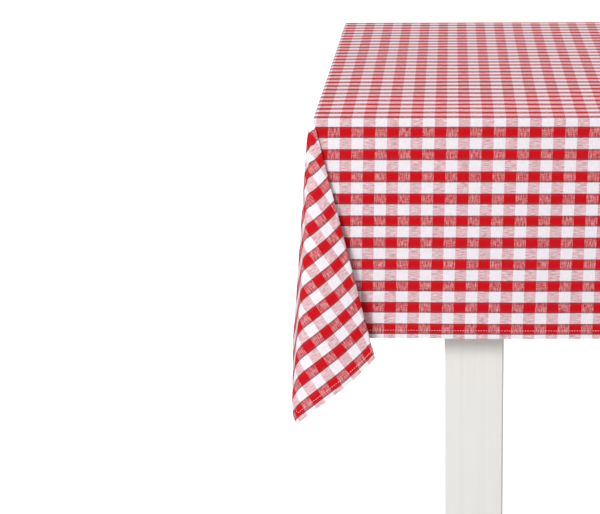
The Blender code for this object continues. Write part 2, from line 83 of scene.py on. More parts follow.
# %% [markdown]
# ## The camera comes first
# A long lens from well over two metres flattens the perspective: the front drop looks square on,
# and the whole table top is squeezed into thin lines above it. The camera looks a little to the
# left and down, with its horizon tipped by half a degree. Its lens is shifted sideways, which
# slides the view without turning it.

# %% Camera
LENS = 128.80
LENS_SHIFT = -0.10                   # in widths of the sensor
YAW, PITCH, ROLL = math.radians(2.510), math.radians(14.281), math.radians(-0.524)
RIGHT, NEARER, HIGHER = 0.1558, 2.3850, 0.4474   # the lens, from the board's front left corner

camera_data = bpy.data.cameras.new("camera")
camera_data.sensor_width = 36
camera_data.lens = LENS
camera_data.shift_x = LENS_SHIFT
camera_data.clip_end = 100
camera = bpy.data.objects.new("camera", camera_data)
bpy.context.scene.collection.objects.link(camera)
camera.location = (top_low.x + RIGHT, top_low.y - NEARER, top_high.z + HIGHER)
camera.rotation_euler = (Matrix.Rotation(YAW, 3, "Z") @ Matrix.Rotation(math.pi / 2 - PITCH, 3, "X")
                         @ Matrix.Rotation(ROLL, 3, "Z")).to_euler()
bpy.context.scene.camera = camera
print("camera at", [round(x, 3) for x in camera.location])

# %% [markdown]
# ## One helper for materials
# Every finish here is a small graph of nodes. One function adds any node, sets its options and
# fills its inputs, with a number, a colour or the output of another node. A second turns the
# sRGB hex that a colour picker gives into the linear numbers that the shader works in.

# %% Material helpers
def linear(code):
    """sRGB hex, such as "cd0819", to a linear colour with alpha."""
    channels = [int(code[i:i + 2], 16) / 255 for i in (0, 2, 4)]
    return (*(c / 12.92 if c <= 0.04045 else ((c + 0.055) / 1.055) ** 2.4 for c in channels), 1.0)


def add_node(material, kind, inputs=None, **options):
    """Add a node of this kind; inputs are numbers, colours or other nodes' outputs."""
    node = material.node_tree.nodes.new("ShaderNode" + kind)
    for option, value in options.items():
        setattr(node, option, value)
    for place, value in (inputs or {}).items():
        if isinstance(value, bpy.types.NodeSocket):
            material.node_tree.links.new(value, node.inputs[place])
        else:
            node.inputs[place].default_value = value
    return node


def new_material(name, **shader_inputs):
    """A material with one Principled shader, whose constants go on its own sockets."""
    material = bpy.data.materials.new(name)
    material.use_nodes = True
    material.node_tree.nodes.clear()
    shader = add_node(material, "BsdfPrincipled",
                      {key.replace("_", " "): value for key, value in shader_inputs.items()})
    add_node(material, "OutputMaterial", {"Surface": shader.outputs[0]})
    return material, shader


def join(material, output, shader, place):
    """Link an output to the shader's socket of this name."""
    material.node_tree.links.new(output, shader.inputs[place])


# %% [markdown]
# ## Finish of the cloth: yarn-dyed cotton gingham
# Gingham is a plain weave of dyed yarns: stripes of red and white in the warp cross the same
# stripes in the weft. Here the weft, which runs along the table, covers more than the warp, so
# a red weft over white warp gives a strong salmon, and a white weft over red warp only a faint
# grey-pink. The pattern reads the sheet's own UV map, in metres of cloth, so that it turns and
# folds with it. Cotton yarn is uneven: slubs along each yarn change how much of it shows. Where
# the colours mix, this makes dull streaks both ways; the mixed checks also get a little painted
# shade, as if between their yarns. Each red weft stripe gets painted shade along its two sides,
# darker and less saturated there. All of it is arithmetic on stripes and two noises, one node
# for each step.

# %% Gingham
YARN_RED = linear("d60618")
YARN_WHITE = linear("f9f3fa")
YARN_PITCH = 0.00042                 # too fine to show, so its relief is drawn twice as coarse
SLUB_LENGTH = 0.008
SLUB_WIDTH = 0.0009                  # two or three yarns vary together
COVER_RED = 0.80                     # share of a red weft that shows over the warp
COVER_WHITE = 0.63                   # and of a white one
PLAIN_STREAKS = 0.25                 # how far slubs change the brightness of plain checks
MIXED_STREAKS = 0.70                 # and of mixed ones
MIXED_SHADE = 0.07                    # painted shade: mixed checks are darker by this, as if shaded between their yarns
SIDE_SHADE_WIDTH = 0.0036                  # width of the painted shade along the sides of a red weft stripe
SIDE_SHADE_DEPTH = 0.50                     # painted shade: at its very side the stripe loses this much brightness
SIDE_SHADE_FADE = 0.15                     # and this share of that painted shade in saturation

gingham, cloth_shader = new_material("yarn_dyed_cotton_gingham", Roughness=0.92,
                                     Specular_IOR_Level=0.12, Sheen_Weight=0.04,
                                     Sheen_Roughness=0.6)
uv = add_node(gingham, "UVMap", uv_map="cloth_metres")
split = add_node(gingham, "SeparateXYZ", {0: uv.outputs[0]})
print("yarns of", YARN_PITCH * 1000, "mm, about", round(CHECK_V / 2 / YARN_PITCH), "in a stripe")


# %% Stripes and slubs
def red_stripes(position, repeat, start, soft):
    """0 on white stripes, rising to 1 on red ones from this far past their side, over soft."""
    from_white = add_node(gingham, "Math", {0: position, 1: repeat / 2}, operation="PINGPONG")
    return add_node(gingham, "Math", {0: from_white.outputs[0], 1: 1 / soft,
                                      2: -(repeat / 4 + start) / soft},
                    operation="MULTIPLY_ADD", use_clamp=True).outputs[0]


def slubs(along_u, seed):
    """Streaks that run along one set of yarns."""
    long, wide = 1 / SLUB_LENGTH, 1 / SLUB_WIDTH
    scale = (long, wide, 1) if along_u else (wide, long, 1)
    stretch = add_node(gingham, "Mapping", {"Vector": uv.outputs[0], "Location": (seed, seed, 0),
                                            "Scale": scale})
    return add_node(gingham, "TexNoise", {"Vector": stretch.outputs[0], "Scale": 1.0, "Detail": 3.0,
                                          "Roughness": 0.6}, noise_dimensions="2D").outputs[0]


half_yarn = YARN_PITCH / 2
warp_red = red_stripes(split.outputs[0], CHECK_U, -half_yarn / 2, half_yarn)
weft_red = red_stripes(split.outputs[1], CHECK_V, -half_yarn / 2, half_yarn)
clear_of_side_shade = red_stripes(split.outputs[1], CHECK_V, 0, SIDE_SHADE_WIDTH)
weft_slub = slubs(True, 3.7)
warp_slub = slubs(False, 8.1)
print("stripes", round(CHECK_U * 500, 1), "and", round(CHECK_V * 500, 1), "mm wide")

# %% Colour of the checks
warp = add_node(gingham, "Mix", {0: warp_red, 6: YARN_WHITE, 7: YARN_RED}, data_type="RGBA")
weft = add_node(gingham, "Mix", {0: weft_red, 6: YARN_WHITE, 7: YARN_RED}, data_type="RGBA")
slub_difference = add_node(gingham, "Math", {0: weft_slub, 1: warp_slub},
                           operation="SUBTRACT").outputs[0]
usual_cover = add_node(gingham, "MapRange", {"Value": weft_red, "To Min": COVER_WHITE,
                                             "To Max": COVER_RED})
cover = add_node(gingham, "Math", {0: slub_difference, 1: usual_cover.outputs[0]},
                 operation="ADD", use_clamp=True)
colour = add_node(gingham, "Mix", {0: cover.outputs[0], 6: warp.outputs[2], 7: weft.outputs[2]},
                  data_type="RGBA")
print("a red weft covers", COVER_RED, "of the warp, a white one", COVER_WHITE)

# %% Streaks, and painted shade at the sides
differ = add_node(gingham, "Math", {0: weft_red, 1: warp_red}, operation="SUBTRACT")
mixed = add_node(gingham, "Math", {0: differ.outputs[0]}, operation="ABSOLUTE").outputs[0]
streaks = add_node(gingham, "MapRange", {"Value": mixed, "To Min": PLAIN_STREAKS,
                                         "To Max": MIXED_STREAKS})
# mixed checks are also set a little darker here: painted shade, as if between their yarns
level = add_node(gingham, "MapRange", {"Value": mixed, "To Min": 1 - PLAIN_STREAKS,
                                       "To Max": 1 - MIXED_STREAKS - MIXED_SHADE})
both_slubs = add_node(gingham, "Math", {0: weft_slub, 1: warp_slub}, operation="ADD")
streaked = add_node(gingham, "Math", {0: both_slubs.outputs[0], 1: streaks.outputs[0],
                                      2: level.outputs[0]}, operation="MULTIPLY_ADD")
# painted shade along the sides of each red weft stripe: darker, and a little less saturated
side_shade = add_node(gingham, "MapRange", {"Value": clear_of_side_shade, "To Min": SIDE_SHADE_DEPTH, "To Max": 0.0})
red_side_shade = add_node(gingham, "Math", {0: side_shade.outputs[0], 1: weft_red},
                    operation="MULTIPLY").outputs[0]
value = add_node(gingham, "Math", {0: streaked.outputs[0], 1: red_side_shade}, operation="SUBTRACT")
saturation = add_node(gingham, "Math", {0: red_side_shade, 1: -SIDE_SHADE_FADE, 2: 1.0},
                      operation="MULTIPLY_ADD")
cloth_colour = add_node(gingham, "HueSaturation", {"Color": colour.outputs[2],
                                                   "Value": value.outputs[0],
                                                   "Saturation": saturation.outputs[0]})
join(gingham, cloth_colour.outputs[0], cloth_shader, "Base Color")
print("gingham so far:", len(gingham.node_tree.nodes), "nodes")

# %% Relief of the weave
RELIEF_DEPTH = 0.0002
WEAVE_SHARE = 0.5                    # of the weave in it, to 1 of the slubs

turns = [add_node(gingham, "Math", {0: place, 1: math.pi / (2 * YARN_PITCH)}, operation="MULTIPLY")
         for place in split.outputs[:2]]
waves = [add_node(gingham, "Math", {0: turn.outputs[0]}, operation="SINE") for turn in turns]
weave = add_node(gingham, "Math", {0: waves[0].outputs[0], 1: waves[1].outputs[0]},
                 operation="MULTIPLY")
relief = add_node(gingham, "Math", {0: weave.outputs[0], 1: WEAVE_SHARE, 2: slub_difference},
                  operation="MULTIPLY_ADD")
cloth_bump = add_node(gingham, "Bump", {"Strength": 0.35, "Distance": RELIEF_DEPTH,
                                        "Height": relief.outputs[0]})
join(gingham, cloth_bump.outputs[0], cloth_shader, "Normal")
print("gingham:", len(gingham.node_tree.nodes), "nodes")

# %% [markdown]
# ## How the cloth hangs
# The sheet is described by where each point of the flat cloth ends up. Over the table it stays
# flat. Past an edge it turns down round a small bend and hangs. Past a corner there is too much
# cloth, and it hangs in folds that all start at the table's corner, like a fan: a straight line
# drawn on the cloth from that corner stays straight, and only its direction changes. So each
# corner needs just one table: for each angle on the cloth, from the front drop (0 degrees) to
# the end drop (90), which way that line hangs. Going round, the cloth passes the corner, turns
# back under the flap, comes out at the crease, and runs as the visible flap over the front,
# round the corner and along the end, where it turns back under once more.

# %% The fan of folds
# angle on the cloth; slopes of its line, out past the end and out past the front; how much the
# cloth stretches along it; how far it bulges past the end, in mm
FOLD = np.array([
    (0.0, 0.000, -0.042, 1.000, 0),
    (2.3, 0.040, -0.036, 1.000, 0),
    (3.0, 0.052, -0.030, 1.000, 0),      # turns back under the flap
    (3.7, 0.040, -0.026, 1.000, 0),
    (17.6, -0.220, 0.000, 1.032, 0),
    (18.7, -0.240, 0.005, 1.044, 0),
    (19.3, -0.244, 0.009, 1.045, 0),     # crease on the front
    (19.9, -0.235, 0.013, 1.046, 0),
    (22.0, -0.214, 0.014, 1.048, 0),
    (26.0, -0.153, 0.015, 1.058, 0),
    (30.0, -0.081, 0.014, 1.069, -1.5),
    (34.0, -0.017, 0.009, 1.071, -1.5),
    (37.0, 0.034, -0.004, 1.077, -3.0),
    (40.5, 0.082, -0.038, 1.086, 0.8),   # about the cloth's own corner
    (46.1, 0.089, -0.103, 1.113, 0.8),
    (52.0, 0.092, -0.195, 1.110, 3.1),
    (58.0, 0.098, -0.300, 1.094, 5.2),
    (64.6, 0.036, -0.418, 1.045, 0),
    (65.4, 0.032, -0.428, 1.040, 0),
    (66.0, 0.026, -0.432, 1.040, 0),     # crease on the end
    (66.8, 0.021, -0.420, 1.035, 0),
    (68.0, 0.017, -0.396, 1.030, 0),
    (88.6, 0.009, -0.010, 1.000, 0),
    (89.3, 0.005, 0.004, 1.000, 0),      # turns back on the corner
    (90.0, 0.000, 0.000, 1.000, 0),
])
CREASES = (3.0, 19.3, 66.0, 89.2)                # where the mesh needs closer lines
FINE = np.linspace(0, 90, 3601)


def soften(values, width):
    """Round a path off: average it over about this many degrees, keeping its ends."""
    half = int(3 * width / (FINE[1] - FINE[0]))
    weights = np.exp(-0.5 * (np.arange(-half, half + 1) / (half / 3)) ** 2)
    longer = np.concatenate([2 * values[0] - values[half:0:-1], values,
                             2 * values[-1] - values[-2:-half - 2:-1]])
    return np.convolve(longer, weights / weights.sum(), mode="valid")


def rise_to_1(x, start, full):
    """0 up to start, then a smooth rise to 1 at full."""
    rise = np.clip((x - start) / (full - start), 0, 1)
    return rise * rise * (3 - 2 * rise)


def bump_between(x, start, full, fall, end):
    """0, rising to 1 between start and full, and back to 0 between fall and end."""
    return rise_to_1(x, start, full) * rise_to_1(-x, -end, -fall)


ROUND_FLAP, ROUND_CREASE = 1.6, 0.32             # degrees
open_flap = bump_between(FINE, 20.5, 24, 58, 63)           # 1 between the two creases
paths = []
for column in (1, 2, 3, 4):
    plain = np.interp(FINE, FOLD[:, 0], FOLD[:, column])
    paths.append(open_flap * soften(plain, ROUND_FLAP)
                 + (1 - open_flap) * soften(plain, ROUND_CREASE))
OUT_END, OUT_FRONT, STRETCH, BULGE = paths
# the turned-back layer and then the flap lie this far off what is under them
FLAP_LIFT = (0.0010 * bump_between(FINE, 3, 8, 80, 88)
             + 0.0004 * bump_between(FINE, 18.5, 20, 65, 67))
print("fold table:", len(FOLD), "lines; the flap's crease leans",
      round(math.degrees(math.atan(-OUT_END.min())), 1), "degrees")

# %% [markdown]
# The drops aren't boards either. Each has a few slow waves that grow towards the hem, the two
# long drops hang a little askew, and the cloth on the board is never pressed quite flat. The
# waves fade out near the corners, where the flaps lie on the drops. One function now takes any
# points of the flat cloth to their places.

# %% From flat cloth to hanging cloth
LEAN = 0.0226                        # the long drops hang askew, towards the left end
LEAN_FADES = 3                       # degrees round the corner at which the lean is gone
BULGE_LENGTH = 0.008                 # nearly two thirds of a bulge is there this far down
LIFT_LENGTH = 0.006                  # and of a lift
WAVE_DEPTH = 0.0022
WAVES = ((0.43, 0.55, 1.0), (0.23, 0.30, 2.1), (0.117, 0.15, 3.7))   # length, share, shift
CLEAR_START, CLEAR_FULL = 0.02, 0.20             # where waves start and are full, from a corner
RIPPLE = 0.0005
RIPPLE_EDGE = 0.05                   # ripples start inside this border


def slow_waves(along, seed):
    """A gentle mix of long waves between -1 and 1."""
    return sum(share * np.sin(along * 2 * np.pi / length + shift * seed)
               for length, share, shift in WAVES)


def ripples(x, y):
    """Low crossing ripples between 0 and 1."""
    return 0.5 + 0.5 * np.sin(x * 23 + 2 * np.sin(y * 9)) * np.sin(y * 31 + 1.5 * np.sin(x * 7))


def hang(u, v):
    """u, v: metres from the cloth's middle. Returns their places as an (n, 3) array."""
    x, y = np.asarray(u, float), np.asarray(v, float) + CLOTH_SHIFT
    side_x, side_y = np.where(x < 0, -1.0, 1.0), np.where(y < 0, -1.0, 1.0)
    over_x = np.maximum(np.abs(x) - REACH_X, 0)
    over_y = np.maximum(np.abs(y) - REACH_Y, 0)
    inside_x, inside_y = np.minimum(np.abs(x), REACH_X), np.minimum(np.abs(y), REACH_Y)
    distance = np.hypot(over_x, over_y)
    angle = np.arctan2(over_x, over_y)
    degrees = np.degrees(angle)
    # the bend over the edge
    turn = np.minimum(distance / BEND, np.pi / 2)
    out = BEND * np.sin(turn)
    hanging = np.maximum(distance - BEND * np.pi / 2, 0)
    out_x, out_y = out * np.sin(angle), out * np.cos(angle)
    # the line's own direction below it
    slope_x, slope_y = np.interp(degrees, FINE, OUT_END), np.interp(degrees, FINE, OUT_FRONT)
    slope_x = slope_x - side_x * LEAN * np.clip(1 - degrees / LEAN_FADES, 0, 1)
    length = hanging * np.interp(degrees, FINE, STRETCH) / np.sqrt(1 + slope_x ** 2 + slope_y ** 2)
    out_x += length * slope_x
    out_y += length * slope_y
    lift = np.interp(degrees, FINE, FLAP_LIFT) * (1 - np.exp(-hanging / LIFT_LENGTH))
    bulge = np.interp(degrees, FINE, BULGE) / 1000 * (1 - np.exp(-hanging / BULGE_LENGTH))
    out_x += lift * np.sin(angle) + bulge
    out_y += lift * np.cos(angle)
    # slow waves in the drops
    clear_x, clear_y = REACH_X - inside_x, REACH_Y - inside_y
    front_wave = slow_waves(x, 1.3 + side_y) * rise_to_1(clear_x, CLEAR_START, CLEAR_FULL)
    end_wave = slow_waves(y, 4.1 + side_x) * rise_to_1(clear_y, CLEAR_START, CLEAR_FULL)
    growth = (hanging / DROP_FRONT) ** 1.5 * WAVE_DEPTH
    out_y += np.where(over_x == 0, growth * front_wave, 0)
    out_x += np.where(over_y == 0, growth * end_wave, 0)
    # ripples on the board
    flat = rise_to_1(clear_x, 0, RIPPLE_EDGE) * rise_to_1(clear_y, 0, RIPPLE_EDGE)
    ripple = RIPPLE * flat * ripples(x, y)
    z = TOP_Z + ripple - BEND * (1 - np.cos(turn)) - length
    return np.stack([side_x * (inside_x + out_x), side_y * (inside_y + out_y), z], axis=-1)


corner_tip = hang([-CLOTH_U / 2], [-CLOTH_V / 2])[0]
print("the cloth's front left corner hangs at", np.round(corner_tip, 3))

# %% [markdown]
# ## The sheet
# The mesh follows the way the cloth hangs: a grid over the table and its four drops, with its
# lines close together where the cloth bends, and at each corner a fan of lines that share one
# point. Rows of the fan end in the same rows as the drops beside it, so the sheet is one piece.
# The last rows lie at the hem's fold, and there the cloth is three layers thick.

# %% Lines of the mesh
BEND_ROWS = BEND * np.pi / 2 * np.arange(1, 6) / 5
BODY_ROWS = np.linspace(0, 1, 27)[1:-1] ** 1.15            # closer together near the top
HEM_STEP = 0.0003                    # half the slope from one layer to three
HEM_ROWS = (HEM_WIDTH + HEM_STEP, HEM_WIDTH - HEM_STEP, 2 * HEM_STEP, 0.0)


def row_distances(to_hem):
    """How far a line's rows lie along it. to_hem(width) is where the line comes within this
    width of the cloth's edge."""
    start, end = BEND_ROWS[-1], to_hem(HEM_ROWS[0])
    return np.concatenate([BEND_ROWS, start + (end - start) * BODY_ROWS,
                           [to_hem(width) for width in HEM_ROWS]])


front_rows = row_distances(lambda width: DROP_FRONT - width)
rear_rows = row_distances(lambda width: DROP_REAR - width)
end_rows = row_distances(lambda width: DROP_END - width)
ROWS = len(front_rows)
across = np.linspace(-REACH_X, REACH_X, 101)               # every 12 mm
along_y = np.linspace(-REACH_Y, REACH_Y, 65)
u_lines = np.concatenate([-REACH_X - end_rows[::-1], across, REACH_X + end_rows])
v_lines = np.concatenate([-REACH_Y - front_rows[::-1], along_y, REACH_Y + rear_rows]) - CLOTH_SHIFT
print(len(u_lines), "by", len(v_lines), "lines,", ROWS, "rows in each drop")

# %% The grid
points_u, points_v, faces = [], [], []
grid = -np.ones((len(u_lines), len(v_lines)), int)


def add_point(u, v):
    points_u.append(u)
    points_v.append(v)
    return len(points_u) - 1


for i, u in enumerate(u_lines):
    for j, v in enumerate(v_lines):
        in_u = ROWS <= i < len(u_lines) - ROWS
        in_v = ROWS <= j < len(v_lines) - ROWS
        if in_u or in_v:
            grid[i, j] = add_point(u, v)
for i in range(len(u_lines) - 1):
    for j in range(len(v_lines) - 1):
        corners = (grid[i, j], grid[i + 1, j], grid[i + 1, j + 1], grid[i, j + 1])
        if min(corners) >= 0:
            faces.append(corners)
print("grid:", len(points_u), "points,", len(faces), "faces")

# %% Fans at the corners
LINE_EVERY = 1.15                    # degrees
CREASE_LINES = np.linspace(-0.75, 0.75, 7)
TIP_CLEAR = 0.3                      # no other line runs this near the one to the cloth's tip
LAST_ANGLE = 89.97                   # the end drop's own line takes over here


def fan_angles(drop):
    """Cloth angles of the fan's lines: even, closer in the creases, and one to the tip."""
    tip = math.degrees(math.atan2(DROP_END, drop))
    angles = [np.arange(1.0, 90, LINE_EVERY), [tip]]
    angles += [crease + CREASE_LINES for crease in CREASES]
    angles = np.unique(np.round(np.concatenate(angles), 4))
    apart = np.abs(angles - tip)
    is_tip = apart < 1e-3
    return angles[(angles < LAST_ANGLE) & ((apart > TIP_CLEAR) | is_tip)]


for side_u in (-1, 1):
    for side_v in (-1, 1):
        drop = DROP_FRONT if side_v < 0 else DROP_REAR
        apex_i = ROWS if side_u < 0 else len(u_lines) - ROWS - 1
        apex_j = ROWS if side_v < 0 else len(v_lines) - ROWS - 1
        lines = [[grid[apex_i, apex_j + side_v * (row + 1)] for row in range(ROWS)]]
        for degrees in fan_angles(drop):
            sine, cosine = math.sin(math.radians(degrees)), math.cos(math.radians(degrees))
            rows = row_distances(lambda width: min((drop - width) / cosine,
                                                   (DROP_END - width) / sine))
            lines.append([add_point(side_u * (REACH_X + distance * sine),
                                    side_v * (REACH_Y + distance * cosine) - CLOTH_SHIFT)
                          for distance in rows])
        lines.append([grid[apex_i + side_u * (row + 1), apex_j] for row in range(ROWS)])
        apex = grid[apex_i, apex_j]
        for first, second in zip(lines, lines[1:]):
            new = [(apex, first[0], second[0])]
            new += [(first[r], first[r + 1], second[r + 1], second[r]) for r in range(ROWS - 1)]
            faces += [face if side_u * side_v < 0 else face[::-1] for face in new]
points_u, points_v = np.array(points_u), np.array(points_v)
print("with its fans:", len(points_u), "points,", len(faces), "faces")

# %% The cloth as an object
mesh = bpy.data.meshes.new("gingham_cloth")
mesh.from_pydata(hang(points_u, points_v).tolist(), [], [list(map(int, face)) for face in faces])
layer = mesh.uv_layers.new(name="cloth_metres")
corner_points = np.empty(len(mesh.loops), int)
mesh.loops.foreach_get("vertex_index", corner_points)
flat_places = np.stack([points_u + CLOTH_U / 2 + CHECKS_SHIFT[0],
                        points_v + CLOTH_V / 2 + CHECKS_SHIFT[1]], axis=-1)
layer.data.foreach_set("uv", flat_places[corner_points].ravel())
cloth = bpy.data.objects.new("gingham_cloth", mesh)
bpy.context.scene.collection.objects.link(cloth)
mesh.materials.append(gingham)

bpy.ops.object.select_all(action="DESELECT")
cloth.select_set(True)
bpy.context.view_layer.objects.active = cloth
to_edge = np.minimum(CLOTH_U / 2 - np.abs(points_u), CLOTH_V / 2 - np.abs(points_v))
hem_group = cloth.vertex_groups.new(name="hem")
hem_group.add([int(i) for i in np.nonzero(to_edge < HEM_WIDTH)[0]], 1.0, "REPLACE")
hem_group.add([int(i) for i in np.nonzero(to_edge >= HEM_WIDTH)[0]], 0.0, "REPLACE")
solid = cloth.modifiers.new("thickness", "SOLIDIFY")
solid.thickness = CLOTH_THICK * HEM_LAYERS
solid.offset = 0
solid.vertex_group = "hem"
solid.thickness_vertex_group = 1 / HEM_LAYERS
bpy.ops.object.modifier_apply(modifier=solid.name)
bpy.ops.object.shade_smooth_by_angle(angle=math.radians(60))
print("cloth:", len(cloth.data.polygons), "faces")

# %% [markdown]
# ## The stitching
# The hem is sewn with a white lockstitch all round, just inside its fold. Over the red checks
# it shows as a fine dashed line. One stitch is modelled as a small rounded bar, then laid along
# the hem on both faces of the cloth, turned to lie along the edge and flat on the cloth.

# %% One stitch
STITCH_PITCH = 0.0030
STITCH_LENGTH = 0.0025
STITCH_WIDTH = 0.00055
STITCH_HEIGHT = 0.7 * STITCH_WIDTH
STITCH_LINE = 0.0099                 # from the hem's edge
VERTEX_TO_EDGE = math.radians(31.7)              # turns the 20-sided ball edge up

bpy.ops.object.select_all(action="DESELECT")
bpy.ops.mesh.primitive_ico_sphere_add(subdivisions=1, radius=0.5)
stitch = bpy.context.object
bpy.ops.object.mode_set(mode="EDIT")
bpy.ops.mesh.select_all(action="SELECT")
bpy.ops.transform.rotate(value=VERTEX_TO_EDGE, orient_axis="X", center_override=(0, 0, 0))
bpy.ops.transform.resize(value=(STITCH_LENGTH, STITCH_WIDTH, STITCH_HEIGHT),
                         center_override=(0, 0, 0))
bpy.ops.object.mode_set(mode="OBJECT")
stitch_points = np.array([v.co[:] for v in stitch.data.vertices])
stitch_faces = np.array([p.vertices[:] for p in stitch.data.polygons])
bpy.data.objects.remove(stitch)
print("a stitch has", len(stitch_faces), "faces")

# %% All of them
def stitch_line(half_long, half_short, turned):
    """Flat places of the stitches along both edges of one length."""
    count = int((2 * half_long - 2 * STITCH_LINE) / STITCH_PITCH)
    runs = (np.arange(count) - (count - 1) / 2) * STITCH_PITCH
    for side in (-1, 1):
        fixed = np.full(count, side * (half_short - STITCH_LINE))
        yield (fixed, runs) if turned else (runs, fixed)


STEP = 0.0004                        # to feel which way the cloth runs at a place
ABOVE = 0.00005                      # a stitch's middle stands this far above the hem
all_points, all_faces, stitches = [], [], 0
for turned, half_long, half_short in ((False, CLOTH_U / 2, CLOTH_V / 2),
                                      (True, CLOTH_V / 2, CLOTH_U / 2)):
    for u, v in stitch_line(half_long, half_short, turned):
        place = hang(u, v)
        du = hang(u + STEP, v) - hang(u - STEP, v)
        dv = hang(u, v + STEP) - hang(u, v - STEP)
        run = dv if turned else du
        normal = np.cross(du, dv)
        normal /= np.linalg.norm(normal, axis=1)[:, None]
        run /= np.linalg.norm(run, axis=1)[:, None]
        side = np.cross(normal, run)
        for face in (-1, 1):
            centre = place + normal * face * (CLOTH_THICK * HEM_LAYERS / 2 + ABOVE)
            bars = (centre[:, None] + run[:, None] * stitch_points[None, :, :1]
                    + side[:, None] * stitch_points[None, :, 1:2]
                    + normal[:, None] * stitch_points[None, :, 2:])
            starts = (stitches + np.arange(len(u))) * len(stitch_points)
            all_points.append(bars.reshape(-1, 3))
            all_faces.append((starts[:, None, None] + stitch_faces[None]).reshape(-1, 3))
            stitches += len(u)
print(stitches, "stitches")

# %% The stitching as an object
mesh = bpy.data.meshes.new("hem_stitching")
mesh.from_pydata(np.concatenate(all_points).tolist(), [], np.concatenate(all_faces).tolist())
stitching = bpy.data.objects.new("hem_stitching", mesh)
bpy.context.scene.collection.objects.link(stitching)
bpy.ops.object.select_all(action="DESELECT")
stitching.select_set(True)
bpy.context.view_layer.objects.active = stitching
bpy.ops.object.shade_smooth()
print("stitching:", len(stitching.data.polygons), "faces")

# %% Thread
FUZZ_SIZE = 1 / 1400                 # 0.7 mm, drawn coarser than the fibres

thread, thread_shader = new_material("cotton_sewing_thread", Roughness=0.75,
                                     Specular_IOR_Level=0.25)
place = add_node(thread, "TexCoord")
fuzz = add_node(thread, "TexNoise", {"Vector": place.outputs["Object"], "Scale": 1 / FUZZ_SIZE,
                                     "Detail": 2.0})
tone = add_node(thread, "Mix", {0: fuzz.outputs[0], 6: linear("e9e2e6"), 7: linear("fdfbfd")},
                data_type="RGBA")
join(thread, tone.outputs[2], thread_shader, "Base Color")
thread_bump = add_node(thread, "Bump", {"Strength": 0.4, "Distance": 0.0001,
                                        "Height": fuzz.outputs[0]})
join(thread, thread_bump.outputs[0], thread_shader, "Normal")
stitching.data.materials.append(thread)
print("thread:", len(thread.node_tree.nodes), "nodes")

# %% [markdown]
# ## Finishes of the table
# What shows of the table is one painted leg, or all four from lower down. The paint is a satin
# white on planed softwood: brushed along the grain, it keeps the faintest lines of it. The rail,
# blocks and buttons underneath are bare wood, with bright zinc on the screws, bolts and nuts,
# and hard nylon feet. Grain is noise drawn out along each piece.

# %% Paint and wood
def wood_grain(material, axis, line, length):
    """Noise drawn out along one axis, with lines of this width and length in metres."""
    scale = [1 / line] * 3
    scale[axis] = 1 / length
    place = add_node(material, "TexCoord")
    stretch = add_node(material, "Mapping", {"Vector": place.outputs["Object"],
                                             "Scale": tuple(scale)})
    return add_node(material, "TexNoise", {"Vector": stretch.outputs[0], "Scale": 1.0, "Detail": 4.0,
                                           "Roughness": 0.55, "Distortion": 0.3}).outputs[0]


def painted_wood(direction, axis):
    """Satin white paint over softwood: nearly even, with brush and grain lines in its relief."""
    material, shader = new_material("satin_white_paint_" + direction, IOR=1.5, Coat_Weight=0.05)
    grain = wood_grain(material, axis, 0.0035, 0.30)
    brush = wood_grain(material, axis, 0.0012, 0.09)
    colour = add_node(material, "Mix", {0: grain, 6: linear("f0eee9"), 7: linear("f9f8f5")},
                      data_type="RGBA")
    join(material, colour.outputs[2], shader, "Base Color")
    gloss = add_node(material, "MapRange", {"Value": brush, "To Min": 0.38, "To Max": 0.52})
    join(material, gloss.outputs[0], shader, "Roughness")
    both = add_node(material, "Math", {0: grain, 1: 1.6, 2: brush}, operation="MULTIPLY_ADD")
    bump = add_node(material, "Bump", {"Strength": 0.35, "Distance": 0.0004,
                                       "Height": both.outputs[0]})
    join(material, bump.outputs[0], shader, "Normal")
    return material


def bare_wood(name, axis, early, late, line, roughness):
    """Planed wood: pale early wood with darker late wood drawn along it."""
    material, shader = new_material(name, Roughness=roughness, IOR=1.45)
    grain = wood_grain(material, axis, line, 0.16)
    pores = wood_grain(material, axis, 0.0006, 0.012)
    bands = add_node(material, "ValToRGB", {0: grain})
    for element, position, shade in zip(bands.color_ramp.elements, (0.35, 0.68), (early, late)):
        element.position = position
        element.color = linear(shade)
    darker = add_node(material, "MapRange", {"Value": pores, "To Min": 0.88, "To Max": 1.1})
    colour = add_node(material, "HueSaturation", {"Color": bands.outputs[0],
                                                  "Value": darker.outputs[0]})
    join(material, colour.outputs[0], shader, "Base Color")
    bump = add_node(material, "Bump", {"Strength": 0.3, "Distance": 0.0003, "Height": pores})
    join(material, bump.outputs[0], shader, "Normal")
    return material


PAINT = {name: painted_wood(name, axis)
         for axis, name in enumerate(("lengthwise", "crosswise", "upright"))}
PINE = {axis: bare_wood("planed_pine_" + "xy"[axis], axis, "e3c596", "c2935a", 0.0045, 0.62)
        for axis in (0, 1)}
BEECH = bare_wood("steamed_beech", 0, "cfa47c", "b98660", 0.0025, 0.5)
print("woods:", *(made.name for made in (*PAINT.values(), *PINE.values(), BEECH)))

# %% Metal and plastic
SPANGLE_SIZE = 1 / 900               # 1.1 mm, so that the plating's crystals just show
TEXTURE_SIZE = 1 / 1100              # 0.9 mm, coarser than the mould's own

zinc, zinc_shader = new_material("zinc_plated_steel", Metallic=1.0)
place = add_node(zinc, "TexCoord")
spangle = add_node(zinc, "TexNoise", {"Vector": place.outputs["Object"],
                                      "Scale": 1 / SPANGLE_SIZE, "Detail": 3.0})
tint = add_node(zinc, "Mix", {0: spangle.outputs[0], 6: linear("b9bcc2"), 7: linear("d9dbe0")},
                data_type="RGBA")
join(zinc, tint.outputs[2], zinc_shader, "Base Color")
dull = add_node(zinc, "MapRange", {"Value": spangle.outputs[0], "To Min": 0.25, "To Max": 0.45})
join(zinc, dull.outputs[0], zinc_shader, "Roughness")

